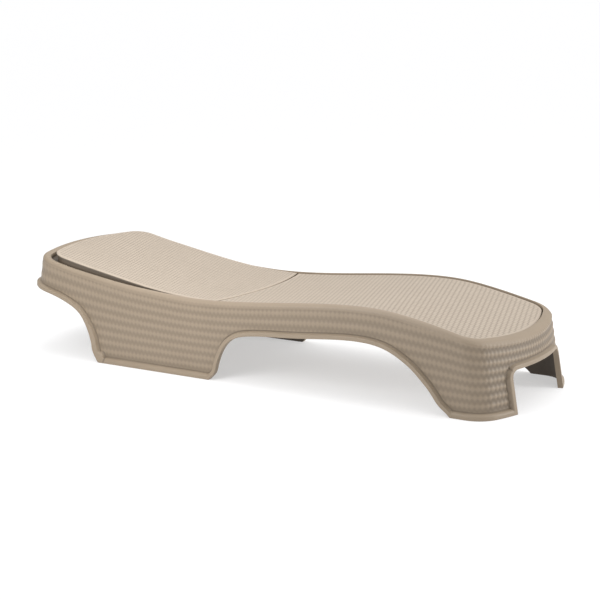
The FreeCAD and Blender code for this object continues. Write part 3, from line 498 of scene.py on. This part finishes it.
def shell_band(plan, low, edge_distance, along, rows):
    """Places round a wall's closed outline, each for all of its columns.

    From the inner lower corner it runs out under the lip, up the woven wall, over the round
    rim, down the recess, round the ledge and down the wall's inner face again. A place has
    x, y, z, how much painted shade its colour gets, and whether it belongs to the inside.
    """
    places = []

    def add(x, y, z, height=0.0, share=0.0, shade=0.0, inner=0):
        # Painted shade: dark in the weave's hollows by its share, or the painted shade of grooves and gaps
        # where that is darker
        painted_shade = np.maximum((1 - height) * share, shade)
        places.append((x + 0 * z, y + 0 * z, z + 0 * x, painted_shade + 0 * z, inner))

    def on_wall(z, offset, **more):
        x, y, nx, ny = plan(z)
        add(x + nx * offset, y + ny * offset, z, **more)

    # Under the lip and round its edge
    on_wall(low, -WALL, inner=1)
    on_wall(low, LIP - LIP_ROUND)
    for turn in QUARTER_TURN:
        on_wall(low + LIP_ROUND * (1 - math.cos(turn)), LIP - LIP_ROUND * (1 - math.sin(turn)))

    # Up the woven wall
    start = low + LIP_ROUND
    end = settle(plan, crest) - RIM_ROUND
    for step in range(1, rows):
        z = start + (end - start) * step / rows
        x, y, nx, _ = plan(z)
        offset, height, share, shade = wall_face(x, z, nx, edge_distance(x, y, z), along)
        on_wall(z, offset, height=height, share=share, shade=shade)

    # Over the rim, whose outer rounding carries the weave on
    base_x, base_y, nx, ny = plan(end)
    reach_x, reach_y, _, _ = plan(RIM + 0 * end)
    inner_x = reach_x - nx * RIM_WIDTH + head_shift(reach_x)
    inner_y = reach_y - ny * RIM_WIDTH
    span = np.hypot(inner_x - base_x, inner_y - base_y)
    widest = np.arccos(1 - np.minimum(RIM_ROUND, span - RIM_INNER_ROUND) / RIM_ROUND)

    def on_rim(inward, drop):
        share = inward / span
        x = base_x + (inner_x - base_x) * share
        y = base_y + (inner_y - base_y) * share
        return x, y, crest(x) - drop

    for step in range(RIM_STEPS + 1):
        lean = widest * step / RIM_STEPS
        drop = RIM_ROUND * (1 - np.sin(lean))
        x, y, z = on_rim(RIM_ROUND * (1 - np.cos(lean)), drop)
        mask = smooth_step(drop, *WEAVE_UNDER_RIM)
        relief = basket(along(base_x, z), row_place(base_x, z)) * mask
        out = RELIEF * (1 + foot_facing(nx)) * (relief - RELIEF_SINK * mask)
        # Painted shade in the weave's hollows on the rim's rounding
        add(x + nx * np.cos(lean) * out, y + ny * np.cos(lean) * out, z + np.sin(lean) * out,
            height=relief, share=RIM_SHADE * mask)
    flat = RIM_ROUND * (1 - np.sin(widest))
    add(*on_rim(span - RIM_INNER_ROUND, flat))
    for turn in QUARTER_TURN:
        add(*on_rim(span - RIM_INNER_ROUND * (1 - math.sin(turn)),
                    flat + RIM_INNER_ROUND * (1 - math.cos(turn))))

    # Down the recess, round the ledge and down the inside
    shelf = crest(inner_x) - RECESS
    # Painted shade down the recess and on the ledge, for the dark gap round deck and panel
    add(inner_x, inner_y, shelf, shade=GAP_SHADE)
    notch = smooth_step(np.abs(inner_x - HINGE_X), HINGE_NOTCH, HINGE_NOTCH + NOTCH_FADE)
    width = LEDGE * notch + LEDGE_IN_NOTCH
    in_x, in_y = inner_x - nx * width, inner_y - ny * width
    shelf_in = crest(in_x) - RECESS
    add(in_x, in_y, shelf_in, shade=GAP_SHADE)
    add(in_x, in_y, shelf_in - LEDGE_DEEP, inner=1)
    back_x, back_y = inner_x + nx * RECESS_WALL, inner_y + ny * RECESS_WALL
    add(back_x, back_y, shelf - LEDGE_DEEP, inner=1)
    add(back_x, back_y, crest(inner_x) - RIM_SKIN, inner=1)
    on_wall(end - INNER_TOP, -WALL, inner=1)
    for step in range(1, INNER_STEPS):
        on_wall(end + (low - end) * step / INNER_STEPS, -WALL, inner=1)
    return places


def shell_pieces(signs, places, along):
    """A shell band closed into a tube with a flat cap at each end, once per name in signs.

    signs gives what y is multiplied by: 1 as it is, -1 mirrored to the other side.
    """
    points = np.stack([np.stack(place[:3], -1) for place in places], 1)
    columns, around = points.shape[:2]
    points = points.reshape(-1, 3)
    quads = grid_quads(columns, around, closed=True)
    caps = np.stack([np.arange(around)[::-1], (columns - 1) * around + np.arange(around)])
    painted_shade = np.stack([place[3] for place in places], 1).ravel()
    inner = np.array([place[4] for place in places])
    # Faces inside the shell take the darker material: painted shade
    tints = np.concatenate([np.tile(inner & np.roll(inner, -1), columns - 1), [0, 0]])
    run = np.stack([along(place[0], place[2]) for place in places], 1).ravel()
    uv = np.stack([run, row_place(points[:, 0], points[:, 2])], -1)
    for name, sign in signs.items():
        piece = make_piece(name, points * (1, sign, 1), [quads, caps], "base",
                           [shell_plastic, shell_inside_shaded], uv, painted_shade, tints)
        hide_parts("body_shell")


def side_along(x, z):
    """How far along the weave on a side: x itself, at any height."""
    return x


def rounded_corner(x, line, way):
    """Height of a leg's rounded lower corner over the ground, a quarter circle beside its edge.

    way is 1 where the leg stands on the line's foot side and -1 on its head side.
    """
    edge_x = line[np.argmin(np.abs(line[:, 1] - CORNER_ROUND)), 0]
    into = np.clip(CORNER_ROUND - way * (x - edge_x), 0, CORNER_ROUND)
    return np.where(way * (x - edge_x) > 0, CORNER_ROUND - np.sqrt(CORNER_ROUND ** 2 - into ** 2), 0)


def make_side_walls():
    """The long walls: columns at even steps, closer where the lower edge is steep."""
    fine = np.linspace(0, 1, SLOPE_STEPS)
    x = side_plan(fine, SLOPE_HEIGHT)[0]
    slope = np.abs(np.gradient(lower_edge(x), x))
    weight = np.cumsum(1 + STEEP_WEIGHT * np.minimum(slope, STEEPEST))
    weight = (weight - weight[0]) / (weight[-1] - weight[0])
    t = np.interp(np.linspace(0, 1, SIDE_COLUMNS), weight, fine)

    def plan(z):
        return side_plan(t, z)

    low = settle(plan, lower_edge)
    x = side_plan(t, low)[0]
    half = LINE_POINTS // 2
    for line, way in ((head_edge, 1), (arch_edge[:half], -1), (arch_edge[half:], 1)):
        low = np.maximum(low, rounded_corner(x, line, way))
    head_line, arch_line = [line[line[:, 1] > -EDGE_UNDER_GROUND][::EDGE_SKIP]
                            for line in (head_edge, arch_edge)]

    def edge_distance(x, y, z):
        from_head = distance_to(x, z, head_line) - HEAD_LIP * (1 - smooth_step(z, *HEAD_LIP_FADE))
        return np.minimum(from_head, distance_to(x, z, arch_line))

    places = shell_band(plan, low, edge_distance, side_along, SIDE_ROWS)
    shell_pieces({"shell_wall_right": 1, "shell_wall_left": -1}, places, side_along)


def end_angles(way, marks=()):
    """Angles at even steps along an end's corners and bow, with some angles marked exactly."""
    _, run, rise, bow, corner = end_parts(END_HEIGHT, way)
    turn = math.atan2(rise, run)
    corner_steps = max(2, int(corner * (math.pi / 2 - turn) / END_STEP))
    bow_steps = int(bow * 2 * turn / END_STEP)
    parts = [np.linspace(-math.pi / 2, -turn, corner_steps, endpoint=False),
             np.linspace(-turn, turn, bow_steps, endpoint=False),
             np.linspace(turn, math.pi / 2, corner_steps + 1)]
    angles = np.concatenate(parts + [np.asarray(marks)])
    return np.unique(np.round(angles, ANGLE_DIGITS))


def end_along(angles, way):
    """How far along the weave on an end: on from the nearer side's corner by the outline's length.

    The length is read at one height, by each column's angle, so that columns keep their strand.
    """
    x, y, _, _ = end_plan(angles, END_HEIGHT, way)
    run = np.concatenate([[0], np.cumsum(np.hypot(np.diff(x), np.diff(y)))])
    run = np.minimum(run, run[-1] - run)
    return lambda x, z: corner_x(z, way) + way * run


def opening_line():
    """Half of the foot opening's outline: up its side, round its corner and in to the middle."""
    turn = np.linspace(0, math.pi / 2, OPENING_ARC_POINTS)
    return np.concatenate([
        [(OPENING_HALF, -OPENING_UNDER_GROUND)],
        np.stack([OPENING_HALF - OPENING_CORNER * (1 - np.cos(turn)),
                  OPENING_TOP - OPENING_CORNER * (1 - np.sin(turn))], -1),
        [(0.0, OPENING_TOP)]])


def make_foot_end():
    """The foot wall, with the opening's upright sides drawn out of columns that nearly meet."""
    side = math.asin(OPENING_HALF / BOW[1])
    brink = side + OPENING_BRINK
    cluster = np.linspace(side, brink, OPENING_COLUMNS)
    angles = end_angles(1, np.concatenate([cluster, -cluster]))
    away = np.abs(angles)
    marked = np.isin(np.round(away, ANGLE_DIGITS), np.round(cluster, ANGLE_DIGITS))
    angles = angles[(away >= brink - ANGLE_SLACK) | (away <= side + ANGLE_SLACK) | marked]
    away = np.abs(angles)
    y = BOW[1] * np.sin(angles)
    upright = (OPENING_TOP - OPENING_CORNER) * np.clip((brink - away) / (brink - side), 0, 1)
    beside = np.clip(np.abs(y) - (OPENING_HALF - OPENING_CORNER), 0, OPENING_CORNER)
    arched = OPENING_TOP - OPENING_CORNER + np.sqrt(OPENING_CORNER ** 2 - beside ** 2)
    low = np.where(away <= side, arched, upright)
    outline = opening_line()

    def plan(z):
        return end_plan(angles, z, 1)

    def edge_distance(x, y, z):
        return distance_to(np.abs(y), z, outline)

    along = end_along(angles, 1)
    places = shell_band(plan, low, edge_distance, along, FOOT_ROWS)
    shell_pieces({"shell_foot_end": 1}, places, along)


def make_head_end():
    """The head wall, whose lower edge goes on from the overhang's."""
    angles = end_angles(-1)[::-1]

    def plan(z):
        return end_plan(angles, z, -1)

    low = settle(plan, lower_edge)

    def edge_distance(x, y, z):
        return z - low

    along = end_along(angles, -1)
    places = shell_band(plan, low, edge_distance, along, HEAD_ROWS)
    shell_pieces({"shell_head_end": 1}, places, along)


# Deck and backrest panel

def seam_curve(y, gap):
    """The seam across the lounger: a circle's arc that bows toward the foot end."""
    half = half_width(RIM) - RIM_WIDTH
    radius = (half ** 2 + SEAM_BOW ** 2) / (2 * SEAM_BOW)
    return SEAM_X + gap - radius + np.sqrt(radius ** 2 - y ** 2)


def end_curve(y, way, inset):
    """An end of the recess's plan, inset: the bow in the middle and the corner's arc beside it."""
    tip, run, rise, bow, corner = end_parts(RIM, way, RIM_WIDTH)
    tip, bow, corner = tip - way * inset, bow - inset, corner - inset
    if way < 0:
        tip += HEAD_RIM - RIM_WIDTH + HEAD_GAP
    touch = rise * bow / (bow - corner)
    on_bow = tip - way * (bow - np.sqrt(np.maximum(bow ** 2 - y ** 2, 0)))
    beside = np.clip(np.abs(y) - rise, 0, corner)
    on_corner = tip - way * (bow - run) + way * np.sqrt(corner ** 2 - beside ** 2)
    return np.where(np.abs(y) < touch, on_bow, on_corner)


def deck_sides(y, inset):
    """The deck runs from the seam to the foot end of the recess."""
    return seam_curve(y, SEAM_GAP / 2 + inset), end_curve(y, 1, EDGE_GAP + inset)


def panel_sides(y, inset):
    """The panel runs from the head end of the recess to the seam."""
    return end_curve(y, -1, EDGE_GAP + inset), seam_curve(y, -SEAM_GAP / 2 - inset)


def even_then_fine(step):
    """Places from -1 to 1: even in the middle, and in both borders a sine that gets ever finer."""
    middle = 1.0 - FINE_BORDER
    count = int(2 * middle / step)
    turn = np.linspace(0, math.pi / 2, FINE_ROWS + 1)[1:]
    side = middle + FINE_BORDER * np.sin(turn)
    return np.concatenate([-side[::-1], np.linspace(-middle, middle, count), side])


def tray(name, top_of, sides, columns, edge_round, deep, weave, body, node):
    """A woven plate with a round edge, a flange all round and an open underside.

    sides(y, inset) gives its two ends at each y. The top is a grid between them with the
    weave's relief on the profile top_of(x); rings then go round the edge, down the flange
    and back up inside to the skin's underside, which is closed by strips across.
    """
    half = half_width(RIM) - RIM_WIDTH - EDGE_GAP
    share = even_then_fine(TOP_STEP / half)

    def outline(inset):
        y = share * (half - inset)
        start, end = sides(y, inset)
        t = np.linspace(0, 1, columns)[:, None]
        return start + (end - start) * t, y + 0 * t

    x, y = outline(edge_round)
    rows, across = x.shape
    ring = np.concatenate([np.arange(across), np.arange(1, rows) * across + across - 1,
                           (rows - 1) * across + np.arange(across - 1)[::-1],
                           np.arange(1, rows - 1)[::-1] * across])
    border = np.stack([x.ravel()[ring], y.ravel()[ring]], -1)
    border = np.concatenate([border, border[:1]])[::BORDER_SKIP]
    mask = smooth_step(distance_to(x, y, border) + edge_round, *WEAVE_OFF_EDGE)
    relief = twill(x, y, *weave) * mask
    z = top_of(x) + DECK_RELIEF * (relief - mask * DECK_RELIEF_SINK)
    points = [np.stack([x.ravel(), y.ravel(), z.ravel()], -1)]
    heights, shares = [relief.ravel()], [mask.ravel()]

    def ring_at(inset, drop, shade=0.0):
        ring_x, ring_y = outline(inset)
        ring_x, ring_y = ring_x.ravel()[ring], ring_y.ravel()[ring]
        points.append(np.stack([ring_x, ring_y, top_of(ring_x) - drop], -1))
        heights.append(np.zeros(len(ring)))
        shares.append(np.full(len(ring), shade))

    # The lower edge rings and the flange get painted shade, for the dark gap beside deck and panel
    for turn, shade in ((22.5, 0.0), (45, 0.0), (67.5, GAP_SHADE_EDGE), (90, GAP_SHADE)):
        turn = math.radians(turn)
        ring_at(edge_round * (1 - math.sin(turn)), edge_round * (1 - math.cos(turn)), shade)
    ring_at(0.0, deep - FLANGE_ROUND, GAP_SHADE)
    ring_at(FLANGE_ROUND, deep, GAP_SHADE)
    ring_at(FLANGE, deep)
    ring_at(FLANGE, SKIN)

    # Faces of the top, between the rings, and across the underside
    faces = [grid_quads(rows, across)]
    last = ring
    for number in range(len(points) - 1):
        here = rows * across + number * len(ring) + np.arange(len(ring))
        faces.append(np.stack([last, here, np.roll(here, -1), np.roll(last, -1)], -1))
        last = here
    corner = across + rows - 2
    end_side = last[across - 1:corner + 1]
    start_side = np.concatenate([last[:1], last[::-1][:rows - 2], last[corner + across - 1:][:1]])
    faces.append(np.stack([start_side[:-1], start_side[1:], end_side[1:], end_side[:-1]], -1))
    faces.append(last[:across][None])
    faces.append(last[corner:corner + across][None])

    points = np.concatenate(points)
    # Painted shade: in the twill's hollows by the weave mask, and in the gap from the rings
    painted_shade = (1 - np.concatenate(heights)) * np.concatenate(shares)
    piece = make_piece(name, points, faces, body, [deck_plastic], points[:, :2], painted_shade)
    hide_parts(node)


# Materials

def new_material(name):
    """A material, its node tree, its shader and the place on the object as a vector."""
    material = bpy.data.materials.new(name)
    material.use_nodes = True
    tree = material.node_tree
    place = tree.nodes.new("ShaderNodeTexCoord").outputs["Object"]
    return material, tree, tree.nodes["Principled BSDF"], place


def noise_at(tree, place, scale, detail, roughness=0.5):
    """Soft noise between 0 and 1, read at a vector."""
    noise = tree.nodes.new("ShaderNodeTexNoise")
    for socket, value in (("Scale", scale), ("Detail", detail), ("Roughness", roughness)):
        noise.inputs[socket].default_value = value
    tree.links.new(place, noise.inputs["Vector"])
    return noise.outputs["Fac"]


def mixed(tree, factor, first, second):
    """A colour between two by a factor; the first is a colour or an output, the second a colour."""
    mix = tree.nodes.new("ShaderNodeMix")
    mix.data_type = "RGBA"
    tree.links.new(factor, mix.inputs["Factor"])
    if isinstance(first, tuple):
        mix.inputs["A"].default_value = (*first, 1)
    else:
        tree.links.new(first, mix.inputs["A"])
    mix.inputs["B"].default_value = (*second, 1)
    return mix.outputs["Result"]


def ranged(tree, value, source, target):
    """A value mapped straight from its source range to a target range and held within it."""
    ramp = tree.nodes.new("ShaderNodeMapRange")
    for socket, number in zip(("From Min", "From Max", "To Min", "To Max"), (*source, *target)):
        ramp.inputs[socket].default_value = number
    tree.links.new(value, ramp.inputs["Value"])
    return ramp.outputs["Result"]


def set_grain(tree, shader, grain, rough, spread, strength, distance):
    """Fine grain as unevenness of the gloss, within a spread round it, and as a bump."""
    gloss = ranged(tree, grain, (0.0, 1.0), (rough - spread, rough + spread))
    tree.links.new(gloss, shader.inputs["Roughness"])
    bump = tree.nodes.new("ShaderNodeBump")
    bump.inputs["Strength"].default_value = strength
    bump.inputs["Distance"].default_value = distance
    tree.links.new(grain, bump.inputs["Height"])
    tree.links.new(bump.outputs["Normal"], shader.inputs["Normal"])


def plastic(name, light, dark, rough, grain_scale, strength, shade_paint=None, full=1.0):
    """Moulded plastic: two tones mixed by soft cloudy noise, with fine grain.

    Where a colour of painted shade is given, it is painted over the two tones by the painted_shade
    attribute, which stands for shade in hollows, grooves and gaps: nearly all of them at the value full,
    and less and less of them down to a value of 0.3.
    """
    material, tree, shader, place = new_material(name)
    colour = mixed(tree, noise_at(tree, place, scale=9.0, detail=5.0, roughness=0.6), light, dark)
    if shade_paint is not None:
        # Painted shade: the shade colour laid over the tones by the per-point attribute
        painted_shade = tree.nodes.new("ShaderNodeAttribute")
        painted_shade.attribute_name = "painted_shade"
        cover = ranged(tree, painted_shade.outputs["Fac"], (0.30, full), (0.0, 0.92))
        colour = mixed(tree, cover, colour, shade_paint)
    tree.links.new(colour, shader.inputs["Base Color"])
    grain = noise_at(tree, place, scale=grain_scale, detail=3.0)
    set_grain(tree, shader, grain, rough, spread=0.06, strength=strength, distance=0.0004)
    return material


def metal(name, colour, rough, grain_scale, stretch, metallic=1.0):
    """Drawn or coated metal: fine grain drawn out along one direction, in tone, gloss and bump."""
    material, tree, shader, place = new_material(name)
    shader.inputs["Metallic"].default_value = metallic
    drawn = tree.nodes.new("ShaderNodeMapping")
    drawn.inputs["Scale"].default_value = stretch
    tree.links.new(place, drawn.inputs["Vector"])
    grain = noise_at(tree, drawn.outputs["Vector"], scale=grain_scale, detail=4.0)
    darker = tuple(0.85 * channel for channel in colour)
    tree.links.new(mixed(tree, grain, darker, colour), shader.inputs["Base Color"])
    set_grain(tree, shader, grain, rough, spread=0.08, strength=0.15, distance=0.0003)
    return material


# Shell and deck are one plastic: the shell's darker colours are painted shade on its walls and rim, the
# deck's lighter colours are painted light on the top of deck and backrest panel, and the third colour of
# each is painted shade for hollows, grooves and gaps
shell_plastic = plastic("shell_plastic", (0.286, 0.225, 0.161), (0.258, 0.202, 0.143), 0.50, 900, 0.25,
                        shade_paint=(0.050, 0.036, 0.023), full=2.0)
# Inside of the shell: darker still, painted shade
shell_inside_shaded = plastic("shell_inside_shaded", (0.080, 0.060, 0.043), (0.064, 0.048, 0.034), 0.55, 700, 0.3)
deck_plastic = plastic("deck_plastic", (0.428, 0.358, 0.286), (0.396, 0.329, 0.260), 0.50, 900, 0.25,
                       shade_paint=(0.075, 0.057, 0.040), full=1.5)
frame_plastic = plastic("frame_plastic", (0.130, 0.100, 0.073), (0.110, 0.084, 0.060), 0.5, 800, 0.3)
dark_plastic = plastic("dark_plastic", (0.075, 0.055, 0.042), (0.055, 0.040, 0.031), 0.5, 700, 0.3)
mill_aluminium = metal("mill_aluminium", (0.72, 0.72, 0.73), 0.42, 220, (1, 0.05, 1))
coated_steel = metal("coated_steel", (0.23, 0.18, 0.14), 0.5, 500, (1, 1, 1), metallic=0.0)
zinc_steel = metal("zinc_steel", (0.62, 0.62, 0.64), 0.33, 400, (1, 1, 1))

# Finishes of the nodes carried over; the pins and screws are zinc-plated
FINISHES = {
    "backrest_frame": frame_plastic,
    "cross_beam_seam": mill_aluminium,
    "cross_beam_seat": mill_aluminium,
    "cross_beam_knee": mill_aluminium,
    "prop_bar": coated_steel,
}
for side in ("left", "right"):
    FINISHES["prop_arm_" + side] = coated_steel
    for part in ("ratchet_rack_", "hinge_bush_", "pivot_block_", "bar_cap_"):
        FINISHES[part + side] = dark_plastic

for node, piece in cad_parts.items():
    piece.data.materials.clear()
    piece.data.materials.append(FINISHES.get(node, zinc_steel))

make_side_walls()
make_foot_end()
make_head_end()
tray("deck_cover", deck_top, deck_sides, DECK_COLUMNS, DECK_EDGE_ROUND, DECK_FLANGE_DEEP, DECK_WEAVE,
     "base", "seat_deck")
tray("panel_cover", panel_top, panel_sides, PANEL_COLUMNS, PANEL_EDGE_ROUND, PANEL_FLANGE_DEEP, PANEL_WEAVE,
     "backrest", "backrest_panel")


# Floor, light and camera

FLOOR_REACH = 80.0
OVERHEAD_PLACE = Vector((0.9, 0.6, 3.0))
OVERHEAD_AIM = Vector((-0.20, -0.24, -1))
OVERHEAD_POWER = 1.50
OVERHEAD_ANGLE = math.radians(100)
HEAD_TARGET = Vector((-0.3, 0, 0.25))
FOOT_TARGET = Vector((0.9, 0, 0.25))

# Soft lamps: name, place, what it shines at, power in watts and size
SOFT_LAMPS = (
    ("head_lamp", Vector((-0.40, 0.1, 2.2)), HEAD_TARGET, 17.0, 1.6),
    ("side_lamp", Vector((-0.35, -1.5, 1.1)), HEAD_TARGET, 17.0, 0.9),
    ("end_lamp", Vector((3.2, 1.0, 1.1)), FOOT_TARGET, 36.0, 1.0),
)

# The photograph's view, from a pinhole camera fitted to its outline: turn, tilt and roll in
# radians, how far away and how far aside and up the camera is, the point that it turns
# about, and the focal length in pixels of a square picture
VIEW_TURN = 0.5767015
VIEW_TILT = 0.2219963
VIEW_ROLL = -0.0217488
VIEW_AWAY = 6.03479
VIEW_ASIDE = 0.0338334
VIEW_UP = 0.2398801
VIEW_MIDDLE = Vector((0.018, 0, 0))
FOCAL_PIXELS = 1621.51
PICTURE_PIXELS = 600
SENSOR_MM = 36.0


def make_floor():
    """A wide pale floor that glows a little, so that it is white away from shadows."""
    reach = FLOOR_REACH
    mesh = bpy.data.meshes.new("floor")
    mesh.from_pydata([(-reach, -reach, 0), (reach, -reach, 0), (reach, reach, 0), (-reach, reach, 0)], [],
                     [(0, 1, 2, 3)])
    floor = bpy.data.objects.new("floor", mesh)
    bpy.context.scene.collection.objects.link(floor)
    material = bpy.data.materials.new("floor_white")
    material.use_nodes = True
    shader = material.node_tree.nodes["Principled BSDF"]
    shader.inputs["Base Color"].default_value = (0.52, 0.52, 0.525, 1)
    shader.inputs["Roughness"].default_value = 0.9
    shader.inputs["Specular IOR Level"].default_value = 0.1
    shader.inputs["Emission Color"].default_value = (1, 1, 1, 1)
    shader.inputs["Emission Strength"].default_value = 0.485
    mesh.materials.append(material)


def add_lamp(name, kind, place, aim, power):
    """A lamp at a place that shines along its aim and isn't seen by the camera."""
    lamp = bpy.data.lights.new(name, kind)
    lamp.energy = power
    holder = bpy.data.objects.new(name, lamp)
    holder.location = place
    holder.rotation_euler = aim.to_track_quat("-Z", "Y").to_euler()
    holder.visible_camera = False
    bpy.context.scene.collection.objects.link(holder)
    return lamp


def make_light():
    """An even pale surround, one broad overhead light, and soft lamps over the head, beside
    it and past the foot end."""
    world = bpy.data.worlds.new("surround")
    world.use_nodes = True
    background = world.node_tree.nodes["Background"]
    background.inputs["Color"].default_value = (1, 1, 1, 1)
    background.inputs["Strength"].default_value = 0.52
    bpy.context.scene.world = world
    overhead = add_lamp("overhead", "SUN", OVERHEAD_PLACE, OVERHEAD_AIM, OVERHEAD_POWER)
    overhead.angle = OVERHEAD_ANGLE
    for name, place, target, power, size in SOFT_LAMPS:
        lamp = add_lamp(name, "AREA", place, target - place, power)
        lamp.size = size
    bpy.context.scene.view_settings.view_transform = "Standard"


def make_camera():
    """The photograph's view: a long lens, turned about its axis by a little over a degree."""
    back = Vector((math.sin(VIEW_TURN) * math.cos(VIEW_TILT), -math.cos(VIEW_TURN) * math.cos(VIEW_TILT),
                   math.sin(VIEW_TILT)))
    right = Vector((math.cos(VIEW_TURN), math.sin(VIEW_TURN), 0))
    up = back.cross(right)
    place = back * VIEW_AWAY + right * VIEW_ASIDE + up * VIEW_UP + VIEW_MIDDLE
    across = right * math.cos(VIEW_ROLL) + up * math.sin(VIEW_ROLL)
    upward = up * math.cos(VIEW_ROLL) - right * math.sin(VIEW_ROLL)
    lens = bpy.data.cameras.new("camera")
    lens.sensor_width = SENSOR_MM
    lens.lens = FOCAL_PIXELS / PICTURE_PIXELS * SENSOR_MM
    camera = bpy.data.objects.new("camera", lens)
    camera.matrix_world = Matrix((
        (across.x, upward.x, back.x, place.x),
        (across.y, upward.y, back.y, place.y),
        (across.z, upward.z, back.z, place.z),
        (0, 0, 0, 1)))
    bpy.context.scene.collection.objects.link(camera)
    bpy.context.scene.camera = camera


make_floor()
make_light()
make_camera()
